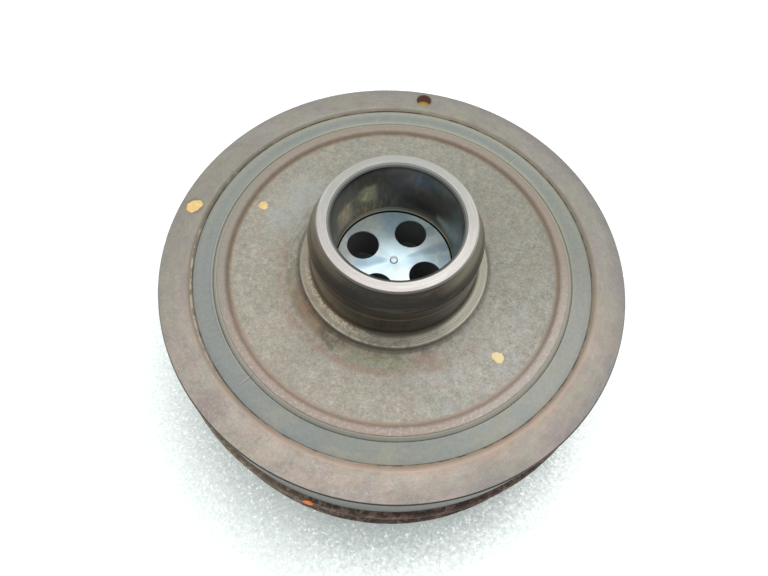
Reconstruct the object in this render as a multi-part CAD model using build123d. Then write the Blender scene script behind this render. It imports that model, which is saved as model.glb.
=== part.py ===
from build123d import *
import os

# Harmonic balancer with a decoupled belt pulley, in millimetres.
#
# Everything is turned about the crankshaft axis, Z. The origin is the centre of the face that the
# end of the crankshaft seats on, and +Z points rearwards, at the engine. The hub carries the inertia
# ring on one rubber ring. The carrier is pressed into the hub and carries the belt pulley on a second,
# softer rubber ring, with a plain bearing and two thrust rings to guide it.

# --- Crank seat and collar -------------------------------------------------------------------------
COLLAR_HEIGHT = 29.5            # from the crank seat to the collar's rear face
SEAL_DIAMETER = 65.0            # surface that the crankcase oil seal runs on
COLLAR_EDGE_BREAK = 0.6
LEAD_IN_WIDTH = 3.6             # cone that opens the seal lip, across the radius
LEAD_IN_LENGTH = 9.2            # the same cone, along the axis
CRANK_BORE_DIAMETER = 47.5      # slides over the nose of the crankshaft
BORE_BEVEL_WIDTH = 1.2
BORE_BEVEL_LENGTH = 0.9
PILOT_DIAMETER = 46.2           # carrier's centre, pressed into the hub
SEAT_LEDGE_WIDTH = 0.35         # cone at the foot of the crank bore
SEAT_LEDGE_HEIGHT = 1.85
SEAT_GROOVE_WIDTH = 0.3         # V-shaped groove left between the hub and the seat
SEAT_GROOVE_HEIGHT = 0.4
FOOT_DIAMETER = 74.2            # turned foot round the collar
FOOT_RISE = 2.35                # its height on the seal surface, above its edge
FOOT_EDGE_HEIGHT = 0.55
FOOT_STEP_WIDTH = 1.3           # from the foot's edge down to the cast web
FOOT_FILLET = 1.5

# --- Hub web and rim -------------------------------------------------------------------------------
WEB_HEIGHT = -0.8               # rear surface of the cast web
WEB_THICKNESS = 8.7
BOSS_DIAMETER = 80.0            # front boss that the carrier's flange lies against
BOSS_LENGTH = 13.0              # from the crank seat to the boss face
HUB_RIM_WALL = 7.2
BEAD_WIDTH = 3.0                # flat-topped bead round the rim's rear edge
BEAD_RISE = 1.9                 # above the web
BEAD_FLANK = 1.2
BEAD_ROUND = 0.9
WEB_CORNER = 3.0                # cast corner between the web's front and the rim

# --- Inertia ring ----------------------------------------------------------------------------------
RING_DIAMETER = 183.4
RING_WALL = 12.8
RING_LENGTH = 23.7
RING_FACE_HEIGHT = 0.4          # rear face, above the crank seat
RING_EDGE_BREAK = 0.45
RING_BEVEL_WIDTH = 2.0          # bevel into the ring's bore, on the rear face
RING_BEVEL_LENGTH = 0.9
RING_FRONT_BREAK = 0.8
BALANCE_HOLE_DIAMETER = 6.8
BALANCE_HOLE_DEPTH = 4.4
BALANCE_HOLE_INSET = 5.2        # from the ring's outside to the hole's axis
BALANCE_HOLE_ANGLE = 85.3
DRILL_POINT_SHARE = 0.6         # drill point's length as a share of its radius

# --- Damper rubber ---------------------------------------------------------------------------------
DAMPER_WALL = 9.5               # rubber between the hub's rim and the inertia ring
LIP_WIDTH = 0.5                 # rubber that climbs the hub's rim
LIP_DROP = 0.4                  # from the bead's top to the lip's top
LIP_FOOT_WIDTH = 1.1
RUBBER_CROWN_DROP = 0.65        # from the ring's rear face to the crown
RUBBER_EDGE_DROP = 1.25         # from the same face to the crown's outer edge
RUBBER_FLASH_GROOVE = 0.3
RUBBER_FRONT_INSET = 1.6

# --- Belt pulley -----------------------------------------------------------------------------------
BELT_STEP = 0.2                 # the rib crests lie this far inside the inertia ring's outside
PULLEY_FLANGE_RISE = 2.4        # flanges, above the rib crests
PULLEY_FLANGE_WIDTH = 3.4
PULLEY_FLANGE_BEVEL = 0.7
PULLEY_FLANGE_SLOPE = 0.9       # the flanks that lead the belt in
PULLEY_GAP = 1.5                # running gap behind the pulley, under the inertia ring
BELT_LAND_WIDTH = 0.9
RIB_COUNT = 6
RIB_PITCH = 3.56
RIB_DEPTH = 3.0
RIB_CREST_WIDTH = 0.75
RIB_ROOT_WIDTH = 0.63
BARREL_WALL = 4.5               # metal left under the grooves
PULLEY_WEB_THICKNESS = 5.0
SLEEVE_WALL = 5.0
FRONT_LIP_BEVEL = 1.5           # bevel inside the pulley's front flange

# --- Plain bearing and thrust rings ----------------------------------------------------------------
BUSH_WALL = 2.5
THRUST_THICKNESS = 2.0
THRUST_WIDTH = 6.5
THRUST_BREAK = 0.3

# --- Carrier ---------------------------------------------------------------------------------------
CARRIER_FLANGE_THICKNESS = 4.5
CARRIER_WALL = 4.0
CARRIER_BEND = 3.0
CARRIER_INSET = 1.5             # its front face, behind the pulley's
CHANNEL_WIDTH = 15.0            # round channel in the carrier that the pulley's sleeve runs in
COUPLING_WALL = 8.0             # rubber between the carrier and the pulley
COUPLING_LENGTH = 14.0
COUPLING_HOLLOW = 1.2
BOLT_CIRCLE_DIAMETER = 28.4
BOLT_HOLE_DIAMETER = 13.0       # close clearance on M12
BOLT_COUNT = 4
BOLT_START_ANGLE = 66.1
CENTRE_MARK_DIAMETER = 3.2      # shallow mark of the lathe centre in the middle of the seat
CENTRE_MARK_FLOOR = 2.3         # diameter of its flat floor
CENTRE_MARK_DEPTH = 0.28

# --- Radii and levels that follow ------------------------------------------------------------------
CRANK_RADIUS = CRANK_BORE_DIAMETER / 2
SEAL_RADIUS = SEAL_DIAMETER / 2
PILOT_RADIUS = PILOT_DIAMETER / 2
RING_RADIUS = RING_DIAMETER / 2
RING_BORE_RADIUS = RING_RADIUS - RING_WALL
RIM_RADIUS = RING_BORE_RADIUS - DAMPER_WALL
RIM_INNER_RADIUS = RIM_RADIUS - HUB_RIM_WALL
CREST_RADIUS = RING_RADIUS - BELT_STEP
PULLEY_RADIUS = CREST_RADIUS + PULLEY_FLANGE_RISE
ROOT_RADIUS = CREST_RADIUS - RIB_DEPTH
BARREL_RADIUS = ROOT_RADIUS - BARREL_WALL
CARRIER_RADIUS = BARREL_RADIUS - COUPLING_WALL
CHANNEL_RADIUS = CARRIER_RADIUS - CARRIER_WALL
JOURNAL_RADIUS = CHANNEL_RADIUS - CHANNEL_WIDTH
RECESS_RADIUS = JOURNAL_RADIUS - CARRIER_WALL
BUSH_RADIUS = JOURNAL_RADIUS + BUSH_WALL

RING_FRONT_Z = RING_FACE_HEIGHT - RING_LENGTH
PULLEY_REAR_Z = RING_FRONT_Z - PULLEY_GAP
RIM_FRONT_Z = PULLEY_REAR_Z + THRUST_THICKNESS
BEAD_Z = WEB_HEIGHT + BEAD_RISE
TRACK_REAR_Z = PULLEY_REAR_Z - PULLEY_FLANGE_WIDTH - BELT_LAND_WIDTH
TRACK_FRONT_Z = TRACK_REAR_Z - RIB_COUNT * RIB_PITCH
PULLEY_FRONT_Z = TRACK_FRONT_Z - BELT_LAND_WIDTH - PULLEY_FLANGE_WIDTH
BOSS_Z = -BOSS_LENGTH
FLANGE_FRONT_Z = BOSS_Z - CARRIER_FLANGE_THICKNESS
CARRIER_FRONT_Z = PULLEY_FRONT_Z + CARRIER_INSET
CARRIER_STEP_Z = CARRIER_FRONT_Z + CARRIER_WALL
SLEEVE_FRONT_Z = CARRIER_STEP_Z + THRUST_THICKNESS
COUPLING_FRONT_Z = CARRIER_FRONT_Z + CARRIER_BEND
COUPLING_REAR_Z = COUPLING_FRONT_Z + COUPLING_LENGTH


def turned(*corners):
    """Turn a closed section about Z. Each corner is (radius, height) or (radius, height, rounding)."""
    points = [(corner[0], 0, corner[1]) for corner in corners]
    rounds = [corner[2] if len(corner) > 2 else 0 for corner in corners]
    section = make_face(FilletPolyline(*points, radius=rounds, close=True))
    return revolve(section, Axis.Z)


def foot_corners():
    """The turned foot round the collar, and its step down to the cast web."""
    foot_radius = FOOT_DIAMETER / 2
    return [
        (SEAL_RADIUS, FOOT_EDGE_HEIGHT + FOOT_RISE, FOOT_FILLET),
        (foot_radius, FOOT_EDGE_HEIGHT, 0.3),
        (foot_radius + FOOT_STEP_WIDTH, WEB_HEIGHT, 0.8),
    ]


def bead_corners():
    """The rounded bead that stands up round the rim's rear edge."""
    bead_inner = RIM_RADIUS - BEAD_WIDTH
    return [
        (bead_inner - BEAD_FLANK, WEB_HEIGHT, BEAD_ROUND),
        (bead_inner, BEAD_Z, BEAD_ROUND),
        (RIM_RADIUS, BEAD_Z, BEAD_ROUND / 2),
    ]


def hub():
    """Cast hub: collar, web, boss and rim in one piece."""
    ledge_radius = CRANK_RADIUS - SEAT_LEDGE_WIDTH
    web_front = WEB_HEIGHT - WEB_THICKNESS
    boss_radius = BOSS_DIAMETER / 2
    return turned(
        (PILOT_RADIUS, BOSS_Z),
        (PILOT_RADIUS, -SEAT_GROOVE_HEIGHT),
        (ledge_radius, SEAT_GROOVE_HEIGHT),
        (CRANK_RADIUS, SEAT_GROOVE_HEIGHT + SEAT_LEDGE_HEIGHT),
        (CRANK_RADIUS, COLLAR_HEIGHT - BORE_BEVEL_LENGTH),
        (CRANK_RADIUS + BORE_BEVEL_WIDTH, COLLAR_HEIGHT),
        (SEAL_RADIUS - LEAD_IN_WIDTH - COLLAR_EDGE_BREAK, COLLAR_HEIGHT),
        (SEAL_RADIUS - LEAD_IN_WIDTH, COLLAR_HEIGHT - COLLAR_EDGE_BREAK),
        (SEAL_RADIUS, COLLAR_HEIGHT - LEAD_IN_LENGTH),
        *foot_corners(),
        *bead_corners(),
        (RIM_RADIUS, RIM_FRONT_Z),
        (RIM_INNER_RADIUS, RIM_FRONT_Z),
        (RIM_INNER_RADIUS, web_front, WEB_CORNER),
        (boss_radius, web_front),
        (boss_radius, BOSS_Z),
    )


def carrier():
    """Seat disc, flange, bearing journal and outer sleeve, formed and turned as one piece."""
    body = turned(
        (0, 0),
        (PILOT_RADIUS - SEAT_GROOVE_WIDTH, 0),
        (PILOT_RADIUS, -SEAT_GROOVE_HEIGHT),
        (PILOT_RADIUS, BOSS_Z),
        (JOURNAL_RADIUS, BOSS_Z, CARRIER_BEND),
        (JOURNAL_RADIUS, CARRIER_STEP_Z),
        (CHANNEL_RADIUS, CARRIER_STEP_Z),
        (CHANNEL_RADIUS, COUPLING_REAR_Z),
        (CARRIER_RADIUS, COUPLING_REAR_Z),
        (CARRIER_RADIUS, CARRIER_FRONT_Z, CARRIER_BEND),
        (RECESS_RADIUS, CARRIER_FRONT_Z, CARRIER_BEND),
        (RECESS_RADIUS, FLANGE_FRONT_Z),
        (0, FLANGE_FRONT_Z),
    )
    return body - bolt_holes() - centre_mark()


def bolt_holes():
    """The crankshaft bolts' holes, right through the seat disc."""
    hole = Pos(Z=FLANGE_FRONT_Z / 2) * Cylinder(BOLT_HOLE_DIAMETER / 2, -2 * FLANGE_FRONT_Z)
    places = PolarLocations(BOLT_CIRCLE_DIAMETER / 2, BOLT_COUNT, start_angle=BOLT_START_ANGLE)
    return [place * hole for place in places]


def centre_mark():
    """The shallow mark that a lathe centre leaves in the middle of the seat."""
    return turned(
        (0, 0),
        (CENTRE_MARK_DIAMETER / 2, 0),
        (CENTRE_MARK_FLOOR / 2, -CENTRE_MARK_DEPTH),
        (0, -CENTRE_MARK_DEPTH),
    )


def inertia_ring():
    ring = turned(
        (RING_BORE_RADIUS, RING_FRONT_Z),
        (RING_BORE_RADIUS, RING_FACE_HEIGHT - RING_BEVEL_LENGTH),
        (RING_BORE_RADIUS + RING_BEVEL_WIDTH, RING_FACE_HEIGHT),
        (RING_RADIUS - RING_EDGE_BREAK, RING_FACE_HEIGHT),
        (RING_RADIUS, RING_FACE_HEIGHT - RING_EDGE_BREAK),
        (RING_RADIUS, RING_FRONT_Z + RING_FRONT_BREAK),
        (RING_RADIUS - RING_FRONT_BREAK, RING_FRONT_Z),
    )
    return ring - balance_hole()


def balance_hole():
    """Blind hole drilled into the inertia ring's rear face, with the drill's cone at its end."""
    radius = BALANCE_HOLE_DIAMETER / 2
    floor = RING_FACE_HEIGHT - BALANCE_HOLE_DEPTH
    drill = turned(
        (0, RING_FACE_HEIGHT),
        (radius, RING_FACE_HEIGHT),
        (radius, floor),
        (0, floor - radius * DRILL_POINT_SHARE),
    )
    return Rot(Z=BALANCE_HOLE_ANGLE) * Pos(X=RING_RADIUS - BALANCE_HOLE_INSET) * drill


def damper_rubber():
    """Rubber bonded between the hub's rim and the inertia ring, with a lip up the rim."""
    lip_radius = RIM_RADIUS + LIP_WIDTH
    groove_radius = lip_radius + LIP_FOOT_WIDTH
    lip_top = BEAD_Z - LIP_DROP
    crown = RING_FACE_HEIGHT - RUBBER_CROWN_DROP
    edge = RING_FACE_HEIGHT - RUBBER_EDGE_DROP
    front = RING_FRONT_Z + RUBBER_FRONT_INSET
    return turned(
        (RIM_RADIUS, front),
        (RIM_RADIUS, lip_top),
        (lip_radius, lip_top),
        (groove_radius, edge),
        (groove_radius + RUBBER_FLASH_GROOVE, crown),
        (RING_BORE_RADIUS - RING_BEVEL_WIDTH, crown, RING_BEVEL_WIDTH),
        (RING_BORE_RADIUS, edge),
        (RING_BORE_RADIUS, front),
    )


def track_corners():
    """Corners of the ribbed belt track, from the rear flange to the front one."""
    flank = (RIB_PITCH - RIB_CREST_WIDTH - RIB_ROOT_WIDTH) / 2
    corners = []
    for rib in range(RIB_COUNT):
        groove_start = TRACK_REAR_Z - rib * RIB_PITCH - RIB_CREST_WIDTH / 2
        root_start = groove_start - flank
        corners.append((CREST_RADIUS, groove_start))
        corners.append((ROOT_RADIUS, root_start))
        corners.append((ROOT_RADIUS, root_start - RIB_ROOT_WIDTH))
        corners.append((CREST_RADIUS, root_start - RIB_ROOT_WIDTH - flank))
    return corners


def pulley():
    """Belt pulley: ribbed barrel with two flanges, and a web in to the bearing sleeve."""
    sleeve_radius = BUSH_RADIUS + SLEEVE_WALL
    web_front = PULLEY_REAR_Z - PULLEY_WEB_THICKNESS
    rear_flange_front = PULLEY_REAR_Z - PULLEY_FLANGE_WIDTH
    front_flange_rear = PULLEY_FRONT_Z + PULLEY_FLANGE_WIDTH
    return turned(
        (BUSH_RADIUS, PULLEY_REAR_Z),
        (PULLEY_RADIUS - PULLEY_FLANGE_BEVEL, PULLEY_REAR_Z),
        (PULLEY_RADIUS, PULLEY_REAR_Z - PULLEY_FLANGE_BEVEL),
        (PULLEY_RADIUS, rear_flange_front + PULLEY_FLANGE_SLOPE),
        (CREST_RADIUS, rear_flange_front),
        *track_corners(),
        (CREST_RADIUS, front_flange_rear),
        (PULLEY_RADIUS, front_flange_rear - PULLEY_FLANGE_SLOPE),
        (PULLEY_RADIUS, PULLEY_FRONT_Z + PULLEY_FLANGE_BEVEL),
        (PULLEY_RADIUS - PULLEY_FLANGE_BEVEL, PULLEY_FRONT_Z),
        (BARREL_RADIUS + FRONT_LIP_BEVEL, PULLEY_FRONT_Z),
        (BARREL_RADIUS, PULLEY_FRONT_Z + FRONT_LIP_BEVEL),
        (BARREL_RADIUS, web_front),
        (sleeve_radius, web_front),
        (sleeve_radius, SLEEVE_FRONT_Z),
        (BUSH_RADIUS, SLEEVE_FRONT_Z),
    )


def plain_ring(inner, outer, front, rear, edge=0):
    """A flat or tubular ring with its outer corners broken."""
    return turned(
        (inner, front),
        (inner, rear),
        (outer - edge, rear),
        (outer, rear - edge),
        (outer, front + edge),
        (outer - edge, front),
    )


def bearing_bush():
    return turned(
        (JOURNAL_RADIUS, SLEEVE_FRONT_Z),
        (JOURNAL_RADIUS, PULLEY_REAR_Z),
        (BUSH_RADIUS, PULLEY_REAR_Z),
        (BUSH_RADIUS, SLEEVE_FRONT_Z),
    )


def rear_thrust_ring():
    outer = RIM_INNER_RADIUS + THRUST_WIDTH
    return plain_ring(RIM_INNER_RADIUS, outer, PULLEY_REAR_Z, RIM_FRONT_Z, THRUST_BREAK)


def front_thrust_ring():
    return plain_ring(BUSH_RADIUS, BUSH_RADIUS + THRUST_WIDTH, CARRIER_STEP_Z, SLEEVE_FRONT_Z, THRUST_BREAK)


def coupling_rubber():
    """Soft rubber that turns the pulley from the carrier, hollowed on its front."""
    middle = (CARRIER_RADIUS + BARREL_RADIUS) / 2
    return turned(
        (CARRIER_RADIUS, COUPLING_FRONT_Z),
        (CARRIER_RADIUS, COUPLING_REAR_Z),
        (BARREL_RADIUS, COUPLING_REAR_Z),
        (BARREL_RADIUS, COUPLING_FRONT_Z),
        (middle, COUPLING_FRONT_Z + COUPLING_HOLLOW),
    )


PIECES = {
    "hub": hub,
    "carrier": carrier,
    "inertia_ring": inertia_ring,
    "damper_rubber": damper_rubber,
    "pulley": pulley,
    "bearing_bush": bearing_bush,
    "rear_thrust_ring": rear_thrust_ring,
    "front_thrust_ring": front_thrust_ring,
    "coupling_rubber": coupling_rubber,
}

os.makedirs("parts", exist_ok=True)
for name, make in PIECES.items():
    export_step(make(), f"parts/{name}.step")
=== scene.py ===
import itertools
import math

import bpy
import numpy as np
from mathutils import Matrix, Vector


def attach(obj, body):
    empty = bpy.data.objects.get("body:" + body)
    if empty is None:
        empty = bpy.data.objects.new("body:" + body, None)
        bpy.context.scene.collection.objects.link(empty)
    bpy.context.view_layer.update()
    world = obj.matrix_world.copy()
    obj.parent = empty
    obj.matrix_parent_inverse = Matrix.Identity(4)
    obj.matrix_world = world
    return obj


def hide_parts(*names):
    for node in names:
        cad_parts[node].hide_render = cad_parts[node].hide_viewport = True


# A harmonic balancer lying on its front face, on a white floor.
# Lengths in the sections and in the materials are millimetres; the scene itself is in metres.
# Angles are degrees round Z from +X, which is the right of the picture.
# The sections repeat the radii and heights of the CAD part.

MM = 0.001
RING_FACE_Z = 0.4               # rear face of the inertia ring
WEB_Z = -0.8                    # rear face of the hub's web
BORE_RADIUS = 23.75             # crank bore
SEAL_RADIUS = 32.5              # seal surface of the collar
RIM_RADIUS = 69.4               # where the hub's rim ends and the damper rubber begins
RING_BORE_RADIUS = 78.9         # where the damper rubber ends and the inertia ring begins
RING_RADIUS = 91.7
FLANGE_RADIUS = 93.9            # both flanges of the pulley
CREST_RADIUS = 91.5             # crests and valleys of the belt track's ribs
VALLEY_RADIUS = 88.5
RIB_COUNT = 6
RIB_PITCH = 3.56
HOLE_PLACE = (85.3, 86.5)       # angle and radius of the hole drilled into the ring
HOLE_RADIUS = 3.4
HOLE_DEPTH = 4.4
SEAM_ANGLES = (49.0, 228.0)     # mould seams across the damper rubber
RELIEF_STEPS = 900              # steps round the axis of a piece with relief
PLAIN_STEPS = 480

RING_DAB = (168.9, 85.8)        # angle and radius of each dab of paint
WEB_DABS = ((159.85, 60.0), (318.75, 55.4))
WEB_DAB_Z = -0.78
FLANGE_DAB = (255.7, 93.72)
FLANGE_DAB_Z = -25.3
FLANGE_DAB_TIP = -58            # degrees that it hangs over the flange's edge

FLOOR_Z = -54.78                # just under the pulley's front face
FLOOR_REACH = 4.0               # metres
LAMP_PLACE = (0.08, 0.22, 1.1)  # metres
CAMERA_PLACE = (0, -108.444, 193.07)
CAMERA_YAW = 0.0130532          # radians away from the ring's centre
CAMERA_PITCH = -0.0525541
CAMERA_ROLL = 0.0926789
FOCAL_PIXELS = 554.66
PICTURE_WIDTH = 768


# --- Numbers into meshes --------------------------------------------------------------------------


def grain(points, size, seed=0):
    """Smooth random values from -1 to 1 at the points, with lumps about size mm across."""
    scaled = points / size + 100.0
    cell = np.floor(scaled).astype(np.int64)
    part = scaled - cell
    part = part * part * (3 - 2 * part)
    total = np.zeros(len(points))
    for corner in itertools.product((0, 1), repeat=3):
        # Every corner of a cell has its own number, mixed from its place and the seed.
        weight = np.prod(np.where(corner, part, 1 - part), axis=1)
        x, y, z = (cell + corner).T
        mixed = (x * 73856093) ^ (y * 19349663) ^ (z * 83492791) ^ (seed * 2654435761)
        mixed = (mixed ^ (mixed >> 13)) * 1274126177 & 0x7FFFFFFF
        total += weight * ((mixed ^ (mixed >> 15)) & 0xFFFF) / 0xFFFF
    return 2 * total - 1


def step_up(values, start, end):
    """0 before start, 1 after end, and a smooth rise between them."""
    share = np.clip((values - start) / (end - start), 0, 1)
    return share * share * (3 - 2 * share)


def unit(vector):
    """The vector at length 1."""
    return vector / np.linalg.norm(vector)


def arc(here, before, after, radius):
    """Points of the fillet of this radius in the corner at here."""
    inward, outward = unit(before - here), unit(after - here)
    half = math.acos(np.clip(inward @ outward, -1, 1)) / 2
    centre = here + unit(inward + outward) * radius / math.sin(half)
    start = here + inward * radius / math.tan(half) - centre
    end = here + outward * radius / math.tan(half) - centre
    sweep = math.pi - 2 * half
    count = max(3, math.ceil(sweep / math.radians(12)))
    shares = np.linspace(0, 1, count + 1)[:, None]
    turned = np.sin((1 - shares) * sweep) * start + np.sin(shares * sweep) * end
    return list(centre + turned / math.sin(sweep))


def section(corners, spacing):
    """Closed section through corners (radius, height[, rounding]), cut up to the spacing.

    Returns its points, and for each whether the edge it draws when turned is sharp.
    """
    points, sharp = [], []
    flat = [np.array(corner[:2], float) for corner in corners]
    for i, corner in enumerate(corners):
        if len(corner) > 2:
            found = arc(flat[i], flat[i - 1], flat[(i + 1) % len(flat)], corner[2])
        else:
            found = [flat[i]]
        points += found
        sharp += [len(found) == 1] * len(found)
    cut, edges = [], []
    for i, point in enumerate(points):
        after = points[(i + 1) % len(points)]
        gap = spacing((point + after) / 2)
        count = max(1, math.ceil(np.linalg.norm(after - point) / gap))
        cut += [point + (after - point) * k / count for k in range(count)]
        edges += [sharp[i]] + [False] * (count - 1)
    return np.array(cut), edges


def add_object(name, data):
    """A new object with this data, linked into the scene."""
    made = bpy.data.objects.new(name, data)
    bpy.context.scene.collection.objects.link(made)
    return made


def lathe(name, corners, steps, spacing, relief=None):
    """Mesh object turned about Z from the section. relief(points) moves its points, in mm."""
    profile, sharp = section(corners, spacing)
    count = len(profile)
    angles = np.arange(steps) * 2 * math.pi / steps
    radius = np.tile(profile[:, 0], steps)
    around = np.repeat(angles, count)
    height = np.tile(profile[:, 1], steps)
    points = np.stack([radius * np.cos(around), radius * np.sin(around), height], 1)
    if relief:
        points = points + relief(points)
    ahead = np.roll(profile, -1, 0)
    area = np.sum(profile[:, 0] * ahead[:, 1] - ahead[:, 0] * profile[:, 1])
    i, j = np.meshgrid(np.arange(steps), np.arange(count), indexing="ij")
    i, j = i.ravel(), j.ravel()
    right, up = (i + 1) % steps, (j + 1) % count
    faces = np.stack([i * count + j, right * count + j, right * count + up, i * count + up], 1)
    if area < 0:
        faces = faces[:, ::-1]
    mesh = bpy.data.meshes.new(name)
    mesh.from_pydata((points * MM).tolist(), [], faces.tolist())
    mesh.polygons.foreach_set("use_smooth", np.ones(len(faces), bool))
    ends = np.zeros(len(mesh.edges) * 2, int)
    mesh.edges.foreach_get("vertices", ends)
    start, end = ends.reshape(-1, 2).T % count
    mesh.edges.foreach_set("use_edge_sharp", (start == end) & np.array(sharp)[start])
    mesh.update()
    return add_object(name, mesh)


# --- Materials ------------------------------------------------------------------------------------


def srgb(red, green, blue):
    """A colour seen as 0 to 255 on a screen, as Blender's linear numbers."""
    shares = [level / 255 for level in (red, green, blue)]
    return [s / 12.92 if s <= 0.04045 else ((s + 0.055) / 1.055) ** 2.4 for s in shares] + [1.0]


def on_face(angle, radius, height):
    """The point at this angle, radius and height."""
    turn = math.radians(angle)
    return radius * math.cos(turn), radius * math.sin(turn), height


class Look:
    """One material, its nodes, and the places on the object that its layers are laid by."""

    def __init__(self, name, color, roughness, metallic, specular=0.5):
        self.material = bpy.data.materials.new(name)
        self.material.use_nodes = True
        self.tree = self.material.node_tree
        self.shader = self.tree.nodes["Principled BSDF"]
        self.shader.inputs["Roughness"].default_value = roughness
        self.shader.inputs["Metallic"].default_value = metallic
        self.shader.inputs["Specular IOR Level"].default_value = specular
        self.color = srgb(*color)
        self.height = None
        coordinates = self.node("ShaderNodeTexCoord").outputs["Object"]
        self.place = self.vector("SCALE", coordinates, scale=1 / MM)
        split = self.node("ShaderNodeSeparateXYZ")
        self.join(self.place, split.inputs[0])
        self.x, self.y, self.z = split.outputs
        square_x = self.math("MULTIPLY", self.x, self.x)
        square_y = self.math("MULTIPLY", self.y, self.y)
        self.r = self.math("SQRT", self.math("ADD", square_x, square_y))
        self.heading = self.vector("NORMALIZE", self.vector("MULTIPLY", self.place, (1, 1, 0)))

    def node(self, kind):
        return self.tree.nodes.new(kind)

    def join(self, value, socket):
        """Links an output to the socket, or sets the socket to a number or a colour."""
        if isinstance(value, bpy.types.NodeSocket):
            self.tree.links.new(value, socket)
        else:
            socket.default_value = value

    def math(self, operation, first, second=0.0, clamp=False):
        node = self.node("ShaderNodeMath")
        node.operation = operation
        node.use_clamp = clamp
        self.join(first, node.inputs[0])
        self.join(second, node.inputs[1])
        return node.outputs[0]

    def vector(self, operation, first, second=None, scale=None):
        node = self.node("ShaderNodeVectorMath")
        node.operation = operation
        self.join(first, node.inputs[0])
        if second is not None:
            self.join(second, node.inputs[1])
        if scale is not None:
            node.inputs["Scale"].default_value = scale
        return node.outputs["Value" if operation in ("DOT_PRODUCT", "LENGTH") else "Vector"]

    def ramp(self, value, start, end, low=0.0, high=1.0):
        """Smooth change from low at start to high at end."""
        node = self.node("ShaderNodeMapRange")
        node.interpolation_type = "SMOOTHSTEP"
        for socket, number in zip(node.inputs, (value, start, end, low, high)):
            self.join(number, socket)
        return node.outputs[0]

    def band(self, value, start, end, soft):
        """1 from start to end, and 0 beyond, with edges this soft."""
        up = self.ramp(value, start - soft, start + soft)
        down = self.ramp(value, end - soft, end + soft, 1.0, 0.0)
        return self.math("MULTIPLY", up, down)

    def noise(self, size, detail, stretch=(1, 1, 1), around=None, fine=0.55, warp=0.0):
        """Noise with lumps about size mm across, its fine detail this strong.

        With around, they are that many times as long round the axis, at mean_radius.
        """
        where = self.place
        mean_radius = 80.0
        if around:
            turned = self.vector("SCALE", self.heading, scale=mean_radius / around)
            along = self.node("ShaderNodeCombineXYZ")
            self.join(self.math("ADD", self.r, self.z), along.inputs[2])
            self.join(self.math("SUBTRACT", self.r, self.z), along.inputs[0])
            across = self.vector("MULTIPLY", along.outputs[0], (0.37, 0, 1))
            where = self.vector("ADD", turned, across)
        if stretch != (1, 1, 1):
            where = self.vector("MULTIPLY", where, stretch)
        node = self.node("ShaderNodeTexNoise")
        self.join(where, node.inputs["Vector"])
        node.inputs["Scale"].default_value = 1.0 / size
        node.inputs["Detail"].default_value = detail
        node.inputs["Roughness"].default_value = fine
        node.inputs["Distortion"].default_value = warp
        return node.outputs["Fac"]

    def side(self, angle, reach):
        """1 in this direction from the axis, smoothly down to 0 at reach degrees to either side."""
        turn = math.radians(angle)
        along = self.vector("DOT_PRODUCT", self.heading, (math.cos(turn), math.sin(turn), 0))
        return self.ramp(along, math.cos(math.radians(reach)), 1.0)

    def spot(self, angle, radius):
        """Distance in plan from the place at this angle and radius."""
        away = self.vector("SUBTRACT", self.place, on_face(angle, radius, 0))
        return self.vector("LENGTH", self.vector("MULTIPLY", away, (1, 1, 0)))

    def spot_mask(self, angle, radius, size):
        """1 at this place, and smoothly down to 0 at size mm from it."""
        return self.ramp(self.spot(angle, radius), size, size * 0.4)

    def ring(self, start, end, soft):
        """The band between these two radii."""
        return self.band(self.r, start, end, soft)

    def level(self, value, middle, spread):
        """0 where the value is below middle - spread, and 1 above middle + spread."""
        return self.ramp(value, middle - spread, middle + spread)

    def patches(self, size, detail, middle, spread, **more):
        """The level of a noise: patches about size mm across."""
        return self.level(self.noise(size, detail, **more), middle, spread)

    def chain(self, operation, values):
        total = values[0]
        for value in values[1:]:
            total = self.math(operation, total, value)
        return total

    def times(self, *values):
        return self.chain("MULTIPLY", values)

    def either(self, *masks):
        return self.chain("MAXIMUM", masks)

    def lay(self, color, *masks):
        """Lays a colour, 0 to 255, over what is there, by the product of the masks."""
        mask = self.times(*masks)
        node = self.node("ShaderNodeMix")
        node.data_type = "RGBA"
        self.join(mask, node.inputs[0])
        self.join(self.color, node.inputs[6])
        self.join(srgb(*color), node.inputs[7])
        self.color = node.outputs[2]

    def shade(self, size, detail, low, high, **more):
        """Multiplies the colour by a noise that goes from low to high."""
        factor = self.ramp(self.noise(size, detail, **more), 0.3, 0.7, low, high)
        self.color = self.vector("SCALE", self.color_socket())
        self.join(factor, self.color.node.inputs["Scale"])

    def color_socket(self):
        if isinstance(self.color, bpy.types.NodeSocket):
            return self.color
        node = self.node("ShaderNodeRGB")
        node.outputs[0].default_value = self.color
        return node.outputs[0]

    def raise_by(self, value, millimetres):
        """Adds value times this many mm to the fine relief."""
        step = self.math("MULTIPLY", value, millimetres * MM)
        self.height = step if self.height is None else self.math("ADD", self.height, step)

    def done(self, roughness=None, metallic=None):
        """Joins everything to the shader and gives the material."""
        self.join(self.color, self.shader.inputs["Base Color"])
        if roughness is not None:
            self.join(roughness, self.shader.inputs["Roughness"])
        if metallic is not None:
            self.join(metallic, self.shader.inputs["Metallic"])
        if self.height is not None:
            bump = self.node("ShaderNodeBump")
            bump.inputs["Strength"].default_value = 1.0
            bump.inputs["Distance"].default_value = 1.0
            self.join(self.height, bump.inputs["Height"])
            self.join(bump.outputs[0], self.shader.inputs["Normal"])
        return self.material


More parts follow.
